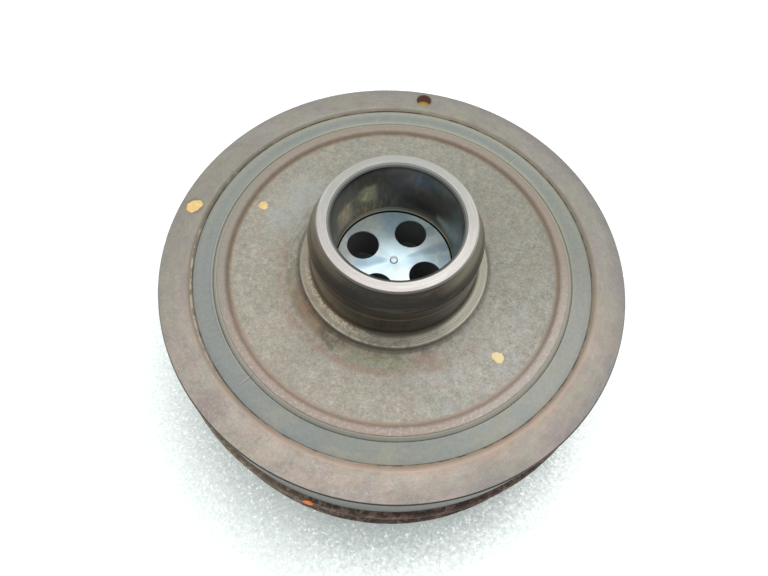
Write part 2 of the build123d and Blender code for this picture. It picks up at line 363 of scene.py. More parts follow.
def cast_hub():
    look = Look("cast_hub", (174, 170, 156), 0.5, 0.35)
    near = look.ramp(look.y, -70, 40, 1, 0)
    paint_web(look, near)
    paint_bead(look, near)
    foot = paint_foot(look)
    wall = paint_wall(look)
    top, bore = paint_collar_end(look)
    smooth = look.either(top, bore, wall)
    cast = look.math("SUBTRACT", 1, look.either(smooth, foot), clamp=True)
    lines = look.noise(0.28, 2, around=60, fine=0.6)
    look.raise_by(look.times(lines, look.either(top, foot)), 0.02)
    look.raise_by(look.times(look.noise(0.7, 4, fine=0.65), cast), 0.09)
    look.raise_by(look.times(look.noise(2.4, 2), cast), 0.12)
    metal = look.math("ADD", look.times(top, 0.55), look.times(bore, 0.3))
    metal = look.math("ADD", metal, 0.3)
    rough = look.ramp(smooth, 0, 1, 0.55, 0.28)
    return look.done(rough, metal)


def paint_web(look, near):
    """Cast iron, greener on the far side, pinker towards the near side and paler there as a painted
    reflection of the light overhead.
    """
    web = look.ring(38, 64.4, 0.5)
    look.lay((168, 169, 158), look.patches(9, 3, 0.52, 0.12))
    # Pinker and paler towards the near side; the paler part is a painted reflection of the light
    # overhead.
    look.lay((186, 166, 152), look.patches(14, 3, 0.56, 0.12, warp=0.5), near, 0.6)
    look.lay((190, 183, 171), look.patches(18, 2, 0.48, 0.15, warp=0.3), near, 0.5)
    look.lay((190, 183, 169), look.side(215, 110), look.ramp(look.r, 44, 58), 0.6)
    look.lay((191, 187, 178), look.side(318, 48), look.ramp(look.r, 38, 50), 0.55)
    look.lay((158, 155, 143), look.side(20, 62), 0.6)
    look.lay((160, 148, 126), look.side(242, 75), look.ramp(look.r, 48, 40), 0.55)
    patchy = look.ramp(look.noise(3.5, 3), 0.35, 0.6, 0.4, 1)
    look.lay((146, 152, 118), look.side(266, 24), look.ring(40.5, 45.5, 1.5), patchy, 0.7)
    look.lay((152, 152, 138), look.side(80, 60), look.ramp(look.r, 56, 46), 0.35)
    look.shade(0.75, 3, 0.78, 1.18, fine=0.85)
    look.shade(1.4, 2, 0.84, 1.13, fine=0.8)
    look.shade(3.2, 3, 0.91, 1.08, fine=0.6)
    look.lay((184, 158, 142), look.patches(4.5, 3, 0.56, 0.08, warp=0.6), web, 0.22)
    look.lay((150, 156, 134), look.patches(6.5, 3, 0.57, 0.08, warp=0.4), web, 0.25)
    look.lay((198, 200, 200), look.patches(5.5, 4, 0.58, 0.08), look.side(320, 60), web, 0.3)
    rough = look.times(look.side(338, 75), web, 0.3)
    look.lay((222, 224, 224), look.patches(1.1, 3, 0.6, 0.06, fine=0.9), rough)
    look.lay((112, 110, 102), look.patches(1, 3, 0.42, -0.06, fine=0.9), rough)
    arcs = look.patches(2.2, 3, 0.5, 0.1, around=4)
    look.lay((128, 118, 98), look.ring(39, 43.2, 1), arcs, look.side(190, 70), 0.5)
    look.lay((176, 146, 128), look.ring(42.5, 47.5, 1.2), arcs, look.side(185, 60), 0.35)
    orange = look.patches(2.6, 3, 0.5, 0.08, warp=0.3)
    look.lay((186, 128, 76), look.ring(39.2, 41.2, 0.7), orange, look.side(221, 13), 0.55)
    look.lay((146, 122, 92), look.ring(38.6, 43.6, 1.2), look.side(222, 30), 0.4)
    for place, size in zip(WEB_DABS, (2.6, 3.1)):
        halo = look.ramp(look.spot(*place), size, size - 1)
        look.lay((170, 132, 98), halo, 0.4)
    look.lay((104, 98, 86), look.patches(1.5, 2, 0.68, 0.05), web, 0.35)
    # Faint pinkish ring half way out.
    broken = look.ramp(look.noise(4, 3, around=1.5), 0.35, 0.6, 0.3, 1)
    look.lay((164, 130, 114), look.ring(45.2, 48, 0.9), broken, look.side(262, 62), 0.55)
    look.lay((166, 128, 106), look.ring(41, 46, 1.5), patchy, look.side(291, 9), 0.4)
    sheen = look.times(look.side(152, 24), look.ring(42, 56, 5))
    look.lay((188, 194, 192), sheen, look.ramp(look.noise(5, 3), 0.3, 0.6, 0.4, 1), 0.5)


def paint_bead(look, near):
    """The rounded bead and the valley inside it."""
    valley = look.ring(64.6, 65.9, 0.8)
    uneven = look.ramp(look.noise(5, 3), 0.25, 0.6, 0.6, 0.95)
    look.lay((151, 132, 112), valley, uneven)
    look.lay((152, 128, 110), valley, uneven, look.side(180, 85), 0.5)
    brown = look.ramp(look.noise(6, 3), 0.3, 0.6, 0.4, 1)
    look.lay((138, 112, 92), look.ring(64.4, 65.8, 0.8), brown, look.side(178, 75), 0.45)
    look.lay((176, 158, 138), valley, uneven, look.side(0, 50), 0.5)
    # Painted reflection: the valley lighter towards the near side.
    look.lay((208, 184, 167), valley, uneven, look.ramp(look.y, -10, -55), 0.9)
    # Painted shadow along the bottom of the valley, on the far side.
    look.lay((128, 100, 78), look.ring(65, 65.6, 0.35), uneven, look.side(90, 100), 0.4)
    bead = look.ring(65.9, 70, 0.4)
    look.lay((169, 153, 138), bead, 0.8)
    # Painted highlights: the bead paler towards the near side, with pale flecks.
    look.lay((186, 166, 154), bead, near, 0.6)
    pale = look.patches(1.2, 3, 0.58, 0.1, fine=0.7)
    look.lay((218, 208, 202), bead, pale, near, 0.6)
    grainy = look.ramp(look.noise(0.9, 3, fine=0.85), 0.35, 0.62, 0.35, 1)
    look.lay((222, 217, 211), bead, look.side(325, 42), grainy, 0.4)
    look.lay((158, 156, 147), bead, look.side(178, 42), 0.5)


def paint_foot(look):
    """Turned foot: a dark crease against the wall, partly oily dirt and partly painted shade, a
    bright face with a painted highlight on its rim, and a painted shadow below the step at its
    edge.
    """
    foot = look.ring(32.2, 37.3, 0.3)
    face = look.ring(32.5, 39, 0.3)
    look.lay((166, 157, 140), foot, 0.9)
    look.lay((193, 188, 175), foot, look.side(335, 75), 0.75)
    look.lay((190, 180, 160), foot, look.side(205, 70), 0.5)
    waves = look.math("MULTIPLY", look.r, 11)
    waves = look.math("ADD", waves, look.math("MULTIPLY", look.noise(1.6, 3), 11))
    lines = look.ramp(look.math("SINE", waves), -1, 1)
    look.lay((230, 226, 203), foot, look.level(lines, 0.55, 0.4), look.side(318, 100), 0.6)
    look.lay((110, 107, 90), foot, look.level(lines, 0.35, -0.3), look.side(312, 115), 0.3)
    # Painted highlight along the outer rim of the foot.
    look.lay((240, 234, 216), look.ring(36.6, 37.15, 0.12), look.side(280, 120), 0.65)
    look.lay((222, 214, 192), look.ring(33.6, 34.8, 0.4), look.side(318, 55), 0.5)
    pits = look.patches(0.7, 3, 0.42, -0.08, fine=0.85)
    look.lay((96, 88, 74), foot, pits, look.side(235, 80), 0.5)
    fleck = look.patches(0.8, 3, 0.6, 0.08, fine=0.7)
    look.lay((214, 206, 188), look.ring(35.6, 37, 0.4), fleck, 0.5)
    # The dark crease against the wall, darkest on the near side: partly oily dirt, partly painted
    # shade.
    look.lay((104, 94, 76), look.ramp(look.r, 34.4, 33.2), foot, 0.85)
    look.lay((56, 51, 44), look.ramp(look.r, 35, 33), foot, look.side(280, 42), 0.7)
    look.lay((92, 86, 73), foot, look.side(278, 40), 0.4)
    cream = look.patches(0.9, 3, 0.5, 0.08, fine=0.75)
    look.lay((236, 224, 196), look.ring(33.4, 35.2, 0.4), cream, look.side(224, 42), 0.75)
    # Painted shadow below the step at the foot's edge, with a dark stain beyond on the near side.
    look.lay((86, 76, 66), look.ring(37.2, 39, 0.5), 0.4)
    look.lay((72, 63, 52), look.ring(37.2, 39.4, 0.6), look.side(255, 80), 0.45)
    look.lay((50, 43, 35), look.ring(37.3, 38.1, 0.2), look.side(255, 95), 0.5)
    stains = look.patches(3.5, 4, 0.55, 0.1, warp=0.4)
    look.lay((84, 74, 60), look.ring(33.5, 41.5, 1.5), stains, look.side(262, 65), 0.4)
    oily = look.spot_mask(240, 39.5, 8)
    oily = look.times(oily, look.patches(1.8, 3, 0.47, 0.1, warp=0.4))
    look.lay((84, 80, 62), oily, look.ramp(look.r, 37, 37.6), 0.6)
    look.lay((168, 124, 90), look.patches(2.4, 3, 0.52, 0.07), look.side(218, 16), face, 0.4)
    return foot


def paint_wall(look):
    """Oily dark seal surface and its lead-in cone, with the wear lines left by the seal. Both are
    painted lighter to the sides as a reflection, and darker on the near side as shade.
    """
    wall = look.times(
        look.ramp(look.r, 28.75, 28.9), look.ramp(look.r, 33.6, 33.2), look.ramp(look.z, 2.4, 3.2)
    )
    wall = look.times(wall, look.ramp(look.z, 28.95, 28.85))
    left = look.ramp(look.x, -12, -31)
    right = look.ramp(look.x, 18, 31)
    look.lay((30, 25, 18), wall)
    look.lay((60, 55, 46), wall, look.ramp(look.z, 10, 4), 0.6)
    # Painted reflection: the wall lighter to the right and the left.
    look.lay((84, 79, 67), wall, right)
    look.lay((108, 94, 73), wall, left)
    look.lay((84, 74, 60), wall, look.ramp(look.noise(6, 3, around=2), 0.3, 0.7), 0.16)
    # Painted reflection: the cone lighter towards its top and to the sides.
    cone = look.times(wall, look.ramp(look.z, 22.2, 25.2))
    look.lay((62, 50, 35), cone, look.ramp(look.z, 22, 29, 0.3, 0.75))
    brushed = look.noise(1, 2, stretch=(1, 1, 0.05))
    look.lay((150, 138, 118), wall, look.level(brushed, 0.5, 0.12), 0.06)
    look.lay((146, 141, 124), cone, look.ramp(look.x, 14, 28), 0.9)
    look.lay((130, 120, 102), cone, look.ramp(look.x, -14, -30), 0.9)
    # Painted shade: the wall darker on the near side and to the near left and right.
    look.lay((22, 16, 9), wall, look.side(270, 38), look.ramp(look.z, 13, 18), 0.6)
    look.lay((30, 25, 19), wall, look.side(228, 34), look.band(look.z, 15, 25.5, 1.5), 0.7)
    look.lay((30, 27, 22), wall, look.side(314, 34), look.band(look.z, 8, 21.5, 2), 0.75)
    ridges = look.noise(0.55, 2, around=60, fine=0.7)
    look.lay((200, 182, 148), wall, look.level(ridges, 0.58, 0.06), 0.06)
    look.lay((16, 13, 11), wall, look.level(ridges, 0.42, -0.06), 0.3)
    rusty = look.times(look.patches(5, 3, 0.5, 0.1, warp=0.4), look.ramp(look.z, 9, 4))
    look.lay((118, 70, 46), wall, rusty, look.side(222, 40), 0.4)
    for height, width, soft, strength, color in (
        (14.8, 0.7, 0.3, 0.3, (176, 168, 150)),
        (17, 1.4, 0.4, 0.35, (14, 12, 11)),
        (12, 0.4, 0.2, 0.07, (170, 160, 140)),
        (18.9, 0.8, 0.3, 0.04, (170, 160, 140)),
        (21.4, 0.6, 0.3, 0.03, (170, 164, 150)),
        (23.6, 2.6, 1, 0.35, (16, 14, 12)),
    ):
        line = look.band(look.z, height - width / 2, height + width / 2, soft)
        look.lay(color, wall, line, strength)
    return wall


def paint_collar_end(look):
    """Bright ground end face, the bevel inside it, and the bore with the ledge at its foot."""
    top = look.times(look.ramp(look.z, 28.85, 28.95), look.ramp(look.r, 24.85, 25))
    look.lay((194, 193, 189), top)
    # Painted reflection: the end face greener to the far side and brighter to the near right.
    look.lay((202, 206, 199), top, look.side(80, 90), 0.6)
    look.lay((224, 219, 215), top, look.side(298, 80), 0.85)
    pink = look.patches(3, 3, 0.55, 0.12, around=8)
    look.lay((210, 194, 188), top, pink, look.side(250, 80), 0.4)
    # Painted highlights along the inner and outer rims of the end face.
    rim_highlights = look.math("ADD", look.ring(25.1, 25.5, 0.15), look.ring(27.9, 28.4, 0.2))
    look.lay((212, 210, 204), top, rim_highlights, 0.5)
    # Painted shade on the outer chamfer, on the near side.
    look.lay((74, 68, 60), top, look.ramp(look.r, 28.35, 28.5), look.side(262, 110), 0.9)
    turned = look.noise(0.35, 2, around=120, fine=0.8)
    look.lay((146, 140, 134), top, look.level(turned, 0.43, 0.06), 0.3)
    look.lay((150, 142, 138), top, look.patches(0.6, 3, 0.42, 0.1, fine=0.8), 0.22)
    bore = look.ramp(look.r, 25, 24.9)
    look.lay((92, 86, 79), bore)
    # Painted reflections on the bore wall: light and tinted patches by side and height.
    look.lay((156, 153, 146), bore, look.side(48, 62), look.ramp(look.z, 5, 13), 0.85)
    for angle, reach, low, high, strength, color in (
        (150, 62, 0, 27, 0.8, (150, 142, 124)),
        (152, 15, 4, 16, 0.9, (255, 226, 192)),
        (122, 12, 10, 19, 0.85, (250, 240, 184)),
        (8, 34, 1, 23, 0.9, (146, 166, 166)),
        (42, 9, 5, 8, 0.6, (255, 255, 230)),
        (35, 12, 3, 9, 0.5, (196, 214, 214)),
        (66, 16, 19, 27, 0.7, (98, 114, 134)),
        (100, 14, 9, 14, 0.3, (112, 112, 96)),
    ):
        height = look.band(look.z, low, high, 2)
        look.lay(color, bore, look.side(angle, reach), height, strength)
    look.lay((52, 50, 48), bore, look.patches(5, 2, 0.55, 0.15, warp=0.4), 0.25)
    streaks = look.noise(1.9, 3, stretch=(1, 1, 0.22), fine=0.7, warp=0.3)
    pale = look.level(streaks, 0.56, 0.08)
    # Painted reflection in pale streaks on the left of the bore.
    look.lay((206, 190, 152), bore, pale, look.side(140, 60), look.ramp(look.z, 21, 15), 0.75)
    look.lay((50, 46, 50), bore, look.level(streaks, 0.42, 0.08), 0.28)
    purple = look.patches(3.5, 3, 0.57, 0.08, warp=0.5)
    look.lay((120, 98, 112), bore, purple, look.side(115, 60), 0.4)
    look.lay((44, 45, 43), bore, look.band(look.z, 27.2, 28.6, 0.5), 0.6)
    look.lay((138, 129, 110), bore, look.ramp(look.z, 2.7, 2.3))
    # Painted highlights: the ledge lighter to the far left, and a bright line along its edge.
    look.lay((214, 202, 172), bore, look.ramp(look.z, 2.7, 2.3), look.side(118, 45), 0.4)
    look.lay((238, 228, 206), bore, look.band(look.z, 0.6, 1.1, 0.2), 0.75)
    # Painted shade: black in the narrow gap round the carrier.
    look.lay((16, 16, 16), bore, look.ramp(look.z, 0.45, 0.25))
    look.lay((104, 106, 101), bore, look.ramp(look.z, 28.55, 28.65))
    look.lay((156, 158, 152), bore, look.ramp(look.z, 28.95, 29.15))
    return top, bore


def turned_iron():
    look = Look("turned_iron", (166, 160, 149), 0.42, 0.5)
    near = look.ramp(look.y, -85, 35, 1, 0)
    look.lay((162, 158, 148), look.patches(22, 3, 0.5, 0.14, warp=0.6))
    # Painted reflection: the face paler and pinker towards the near side, and lighter to the near
    # left.
    look.lay((175, 160, 151), look.patches(17, 4, 0.5, 0.14, warp=0.4), near, 0.7)
    look.lay((174, 171, 164), look.patches(12, 3, 0.6, 0.1, around=3), 0.4)
    look.lay((178, 170, 158), look.side(225, 55), 0.5)
    look.lay((156, 153, 141), look.side(185, 50), 0.4)
    look.lay((146, 140, 140), look.ramp(look.r, 86, 90), look.ramp(look.x, -60, 60), 0.6)
    # Painted reflection: the inner band lighter towards the near side.
    look.lay((198, 188, 176), look.ring(82, 85, 1.2), near, 0.35)
    look.shade(0.35, 3, 0.93, 1.05, around=26, fine=0.7)
    look.shade(1.1, 4, 0.93, 1.06, around=2, fine=0.75)
    look.shade(0.55, 3, 0.86, 1.12, fine=0.85)
    look.lay((152, 140, 142), look.patches(6, 3, 0.56, 0.08, around=1.6, warp=0.8), 0.35)
    look.lay((168, 168, 146), look.patches(7, 3, 0.57, 0.08, around=1.6, warp=0.5), 0.3)
    look.lay((190, 167, 155), look.patches(5, 4, 0.53, 0.08, around=1.5), near, 0.35)
    look.lay((150, 128, 120), look.patches(3.5, 4, 0.58, 0.07), near, look.side(235, 80), 0.3)
    look.lay((198, 170, 148), look.ramp(look.r, 84, 80.9), look.side(300, 80), 0.25)
    look.lay((146, 134, 130), look.spot_mask(228, 87.5, 9), 0.55)
    powder = look.patches(1.2, 3, 0.57, 0.06, fine=0.85)
    look.lay((212, 200, 192), powder, look.side(240, 60), 0.3)
    look.lay((140, 116, 88), look.ramp(look.spot(168.7, 85.8), 4.4, 3.2), 0.45)
    look.lay((128, 112, 98), look.patches(6, 4, 0.62, 0.1), 0.14)
    paint_ring_bevel(look, near)
    wall = look.times(look.ramp(look.r, 91.35, 91.5), look.ramp(look.z, 0.1, -0.1))
    look.lay((114, 114, 109), wall)
    look.lay((98, 99, 94), wall, look.side(235, 30), 0.5)
    look.lay((104, 105, 101), wall, look.ramp(look.z, -9, -2), 0.5)
    look.lay((104, 98, 90), wall, look.patches(6, 4, 0.55, 0.1, around=3), 0.5)
    look.lay((84, 84, 80), wall, look.patches(0.5, 3, 0.45, -0.1, around=50, fine=0.7), 0.25)
    look.lay((150, 150, 143), wall, look.patches(0.7, 3, 0.58, 0.06, around=30), 0.2)
    # Painted shade on the outer edge, darkest on the near side.
    edge = look.ring(91.2, 91.62, 0.1)
    look.lay((97, 94, 88), edge, 0.45)
    look.lay((44, 42, 38), edge, look.side(270, 80), 0.9)
    painted = paint_drilled_hole(look)
    look.raise_by(look.noise(0.3, 3, around=40, fine=0.65), 0.02)
    look.raise_by(look.noise(1.1, 3), 0.025)
    rough = look.ramp(look.noise(12, 3), 0.3, 0.7, 0.38, 0.5)
    return look.done(rough, look.ramp(painted, 0, 1, 0.5, 0))


def paint_ring_bevel(look, near):
    """Bevel inside the ring: dirty, painted lighter on the near side, with painted shade towards
    the rubber, a broken dark line of painted shade in the groove, and pale flecks along the rubber.
    """
    bevel = look.times(look.ramp(look.r, 77.6, 78.2), look.ramp(look.r, 81.1, 79.8))
    look.lay((128, 119, 103), bevel, 0.85)
    # Painted light: the bevel lighter towards the near side, where it tilts away.
    look.lay((186, 169, 152), bevel, look.ramp(look.y, 30, -70), 0.9)
    look.lay((124, 119, 106), bevel, look.side(175, 60), 0.8)
    # Painted shade: the bevel darker towards the groove at the rubber, on the left.
    look.lay((94, 84, 68), look.ramp(look.r, 80, 78.9), look.side(165, 110), 0.5)
    look.lay((78, 74, 66), look.ring(79.3, 79.7, 0.2), look.side(158, 30), 0.5)
    look.lay((146, 138, 126), bevel, look.side(225, 35), 0.6)
    look.lay((200, 178, 158), bevel, look.side(280, 50), 0.6)
    blotch = look.patches(3, 3, 0.52, 0.08, around=2)
    look.lay((186, 148, 120), bevel, blotch, near, 0.45)
    look.lay((150, 148, 136), bevel, look.patches(2.2, 3, 0.58, 0.06, around=1.5), 0.4)
    # Painted shade: the bevel darker towards the groove at the rubber, on the right.
    look.lay((112, 100, 82), look.ramp(look.r, 80.4, 78.9), look.side(345, 85), 0.45)
    rust = look.patches(9, 3, 0.5, 0.15)
    look.lay((196, 160, 134), look.ring(78, 82, 1.2), rust, near, 0.3)
    # Painted light on the outer half of the bevel, on the near side.
    look.lay((218, 202, 190), look.ring(80.1, 81, 0.4), look.side(285, 85), 0.55)
    broken = look.patches(5, 3, 0.5, 0.06, around=1.5)
    # Painted shade: a broken dark line in the groove at the rubber.
    look.lay((62, 58, 50), look.ring(78.8, 79.15, 0.12), broken, 0.75)
    fleck = look.times(look.ramp(look.noise(2, 3, around=1.5), 0.42, 0.58), look.side(200, 32))
    look.lay((196, 194, 170), look.ring(79.25, 79.85, 0.15), fleck, 0.75)


def paint_drilled_hole(look):
    """Paint run into the drilled hole."""
    away = look.spot(*HOLE_PLACE)
    inside = look.times(look.ramp(away, 3.6, 3.45), look.ramp(look.z, 0.35, 0.2))
    look.lay((132, 108, 106), look.ramp(away, 4.6, 3.4), 0.35)
    look.lay((128, 96, 96), inside)
    look.lay((255, 224, 130), inside, look.ramp(look.z, -3.3, -4.1))
    return inside


def zinc():
    look = Look("zinc_plated_steel", (214, 238, 246), 0.3, 0.9)
    # Painted reflections: the seat's bright and blue sweeps, set by side and radius.
    look.lay((222, 236, 238), look.ramp(look.y, 0, -9))
    look.lay((146, 172, 188), look.side(186, 22), look.ramp(look.r, 1, 5), 0.9)
    look.lay((168, 194, 210), look.side(10, 26), look.ramp(look.r, 3, 9), 0.6)
    far = look.times(look.ramp(look.r, 8, 17), look.ramp(look.y, -4, 6))
    look.lay((226, 250, 255), far, 0.85)
    left = look.times(look.side(176, 34), look.ramp(look.r, 14, 20))
    look.lay((255, 255, 250), left, 0.9)
    look.lay((248, 255, 255), look.side(305, 40), look.ramp(look.r, 2, 6), 0.6)
    look.lay((236, 246, 232), look.band(look.x, 16, 17.6, 0.8), look.ramp(look.y, -3, 2), 0.75)
    look.lay((190, 214, 228), look.patches(9, 2, 0.5, 0.15, warp=0.4), 0.35)
    look.lay((150, 190, 208), look.patches(2.2, 3, 0.52, 0.08, warp=0.5), far, 0.35)
    look.lay((240, 250, 244), look.patches(2.6, 3, 0.58, 0.08), far, 0.35)
    look.lay((214, 206, 180), look.patches(1.2, 3, 0.58, 0.08), look.side(118, 30), 0.3)
    look.lay((200, 198, 178), look.patches(7, 2, 0.58, 0.12), 0.25)
    # The centre mark: painted shade on its near side and a painted highlight on its far side.
    mark = look.ring(0.9, 2, 0.08)
    look.lay((96, 106, 108), look.ring(1.1, 1.7, 0.08), look.side(270, 120), 0.9)
    look.lay((250, 255, 255), mark, look.side(90, 100))
    # More painted reflection sweeps on the seat.
    look.lay((142, 176, 196), look.side(94, 26), look.ramp(look.r, 9, 17), 0.6)
    look.lay((206, 204, 186), look.side(128, 20), look.ramp(look.r, 12, 18), 0.45)
    look.lay((150, 178, 196), look.side(24, 9), look.ramp(look.r, 4, 8), 0.5)
    look.lay((240, 252, 255), look.side(38, 12), look.ramp(look.r, 4, 8), 0.6)
    look.lay((140, 162, 156), look.spot_mask(48, 20, 3.5), 0.4)
    # Painted shade: a black line in the gap round the seat.
    look.lay((14, 14, 14), look.ramp(look.r, 22.85, 22.95))
    # Painted shade: the bolt-hole walls darker.
    hole = look.times(look.ramp(look.z, -0.4, -0.9), look.ramp(look.z, -17, -16.5))
    hole = look.times(hole, look.ramp(look.r, 23.3, 22.7))
    look.lay((112, 112, 115), hole)
    hidden = look.times(look.ramp(look.z, -12, -13.5), look.ramp(look.r, 21.4, 21.8))
    look.lay((206, 212, 208), hidden)
    # Painted shade: the recess behind the seat darker, as it shows through the bolt holes.
    recess = look.times(look.ramp(look.z, -16, -16.6), look.ramp(look.r, 41, 40))
    look.lay((112, 112, 106), recess)
    behind = look.either(hidden, recess)
    look.lay((150, 146, 130), behind, look.patches(1.6, 4, 0.5, 0.2, fine=0.7), 0.3)
    look.raise_by(look.noise(0.3, 2, around=50), 0.004)
    look.raise_by(look.noise(5, 2), 0.03)
    dull = look.either(hole, recess)
    dull = look.either(dull, look.times(mark, look.side(90, 100)))
    outer = look.either(far, left)
    dull = look.either(dull, look.times(outer, look.ramp(look.z, -0.4, -0.1), 0.75))
    rough = look.ramp(look.noise(5, 3), 0.3, 0.7, 0.3, 0.38)
    return look.done(rough, look.ramp(dull, 0, 1, 0.9, 0))


def damper_rubber():
    look = Look("damper_rubber", (158, 160, 152), 0.62, 0, 0.35)
    look.lay((162, 163, 153), look.patches(12, 3, 0.5, 0.15, around=2), 0.6)
    look.lay((147, 152, 149), look.patches(7, 3, 0.56, 0.12, around=3), 0.5)
    cream = look.math("ADD", look.ramp(look.r, 75.8, 77.6), look.ramp(look.r, 73, 71.8))
    look.lay((184, 183, 163), cream, look.side(80, 120), 0.65)
    look.lay((150, 152, 142), look.side(0, 50), 0.5)
    look.lay((142, 152, 148), look.ring(73.4, 75.4, 0.7), look.side(100, 140), 0.55)
    look.lay((180, 180, 173), look.side(322, 45), 0.7)
    look.lay((176, 174, 160), look.patches(3, 4, 0.62, 0.08), 0.3)
    blue = look.patches(9, 3, 0.53, 0.1, around=1.6, warp=0.5)
    look.lay((148, 157, 156), blue, look.side(300, 110), 0.3)
    look.lay((146, 152, 156), look.side(215, 50), 0.4)
    tan = look.patches(6, 3, 0.56, 0.08, around=2)
    look.lay((176, 170, 150), tan, look.side(290, 100), 0.4)
    look.shade(1.3, 4, 0.93, 1.06, fine=0.7)
    lip = look.ring(69.3, 70.9, 0.2)
    look.lay((170, 166, 151), lip, 0.7)
    # Painted light: the lip lighter to the right and the left, against the shade of the groove at
    # its foot.
    look.lay((184, 181, 166), look.ring(69.3, 71.6, 0.2), look.side(20, 120), 0.5)
    look.lay((188, 184, 168), look.ring(69.3, 71.6, 0.2), look.side(205, 50), 0.5)
    look.lay((178, 180, 170), look.ring(71.2, 71.8, 0.25), look.side(165, 60), 0.35)
    look.lay((112, 120, 122), look.ring(72, 72.3, 0.15), look.side(165, 60), 0.4)
    near = look.ramp(look.y, -75, 20, 1, 0.15)
    broken = look.ramp(look.noise(4, 3, around=1.5), 0.35, 0.55, 0.55, 1)
    # Painted shade in the grooves at the rim, at the lip's foot and at the ring.
    for radius, width in ((69.4, 0.2), (71.1, 0.2), (78.85, 0.3)):
        line = look.ring(radius - width / 2, radius + width / 2, 0.12)
        look.lay((46, 44, 38), line, near, broken, 0.9)
    # Across each seam, a painted highlight on its ridge and a painted shadow beside it.
    for angle in SEAM_ANGLES:
        turn = math.radians(angle)
        across = look.vector("DOT_PRODUCT", look.place, (-math.sin(turn), math.cos(turn), 0))
        side = look.times(look.side(angle, 20), look.ramp(look.r, 76, 74.5))
        look.lay((206, 208, 198), look.band(across, -0.15, 0.15, 0.12), side, 0.45)
        look.lay((90, 90, 84), look.band(across, 0.35, 0.6, 0.12), side, 0.45)
    look.raise_by(look.noise(0.6, 3, fine=0.6), 0.02)
    return look.done()


def coupling_rubber():
    look = Look("coupling_rubber", (46, 46, 45), 0.6, 0, 0.35)
    look.lay((84, 80, 74), look.patches(6, 4, 0.55, 0.12), 0.5)
    look.raise_by(look.noise(0.7, 3), 0.03)
    return look.done()


def pulley_steel():
    look = Look("pulley_steel", (92, 74, 64), 0.6, 0.3)
    look.lay((68, 54, 49), look.patches(2, 4, 0.5, 0.12, stretch=(0.35, 0.35, 1)))
    # Painted shadow on the flange's rear face, under the inertia ring.
    look.lay((54, 44, 40), look.ramp(look.z, -25.2, -24.9), look.ramp(look.r, 93.2, 92.4), 0.6)
    look.lay((150, 132, 120), look.patches(0.8, 4, 0.6, 0.06, stretch=(0.3, 0.3, 1)), 0.6)
    pink = look.patches(1.8, 3, 0.57, 0.06, around=1.5)
    look.lay((160, 128, 118), pink, look.side(285, 50), 0.4)
    look.lay((116, 86, 66), look.patches(3, 4, 0.6, 0.07, warp=0.5), 0.5)
    pale = look.patches(0.8, 3, 0.55, 0.06, stretch=(0.35, 0.35, 1), fine=0.7)
    look.lay((140, 124, 107), look.side(222, 42), 0.75)
    look.lay((190, 170, 150), pale, look.side(238, 36), 0.6)
    track = look.times(look.ramp(look.z, -28, -28.6), look.ramp(look.z, -51.6, -51))
    look.lay((69, 66, 63), track, 0.85)
    look.shade(0.7, 3, 0.85, 1.12)
    look.raise_by(look.noise(0.8, 4, fine=0.65), 0.12)
    return look.done(look.ramp(look.noise(3, 3), 0.3, 0.7, 0.5, 0.7))


def plain(name, color, roughness):
    look = Look(name, color, roughness, 0)
    look.shade(1.2, 3, 0.93, 1.05)
    look.raise_by(look.noise(0.5, 3), 0.015)
    return look.done()


def paint(name, color, pale):
    look = Look(name, color, 0.4, 0)
    look.lay(pale, look.patches(1.3, 3, 0.55, 0.1), 0.7)
    look.lay(pale, look.ramp(look.x, 20, 40, 0, 0.7))
    look.shade(0.9, 3, 0.94, 1.04, fine=0.7)
    look.raise_by(look.noise(0.7, 3), 0.04)
    return look.done()


# --- Pieces ---------------------------------------------------------------------------------------


def hub_corners():
    return [
        (23.1, -13.0), (23.1, -0.4), (23.4, 0.4), (BORE_RADIUS, 2.25), (BORE_RADIUS, 28.6),
        (24.95, 29.5), (28.3, 29.5), (28.9, 28.9), (SEAL_RADIUS, 20.3),
        (SEAL_RADIUS, 2.9, 1.5), (37.1, 0.55, 0.3), (38.4, WEB_Z, 0.8), (65.2, WEB_Z, 1.9),
        (66.4, 1.1, 1.8), (RIM_RADIUS, 1.1, 0.45), (RIM_RADIUS, -22.8), (62.2, -22.8),
        (62.2, -9.5, 3), (40.0, -9.5), (40.0, -13.0),
    ]


def hub_spacing(middle):
    """Finer over the web and the bead, which have relief."""
    radius, height = middle
    return 0.45 if 36 < radius < 70 and height > -1.2 else 1.5


def hub_relief(points):
    """Cast skin on the web and the bead."""
    radius = np.hypot(points[:, 0], points[:, 1])
    cast = step_up(radius, 37.6, 39.2) * step_up(points[:, 2], -1.6, -1.1)
    cast *= 1 - step_up(radius, 69.0, 69.35)
    lift = 0.05 * grain(points, 1.1) + 0.05 * grain(points, 2.6, 1) + 0.06 * grain(points, 9, 2)
    bead = np.exp(-(((radius - 67.5) / 1.4) ** 2)) * 0.08 * grain(points, 4.5, 3)
    moved = np.zeros_like(points)
    moved[:, 2] = cast * (lift + bead)
    return moved


def ring_corners():
    return [
        (RING_BORE_RADIUS, -23.3), (RING_BORE_RADIUS, -0.5), (80.9, RING_FACE_Z, 0.25),
        (91.25, RING_FACE_Z, 0.15), (RING_RADIUS, -0.05, 0.15), (RING_RADIUS, -22.5),
        (90.9, -23.3),
    ]


def rubber_corners():
    return [
        (RIM_RADIUS, -21.7), (RIM_RADIUS, 0.7), (69.9, 0.7, 0.25), (71.0, -0.85),
        (71.3, -0.25), (76.9, -0.25, 2.0), (RING_BORE_RADIUS, -0.85),
        (RING_BORE_RADIUS, -21.7),
    ]


def rubber_spacing(middle):
    """Finer on the face that shows."""
    return 0.6 if middle[1] > -1.5 else 5


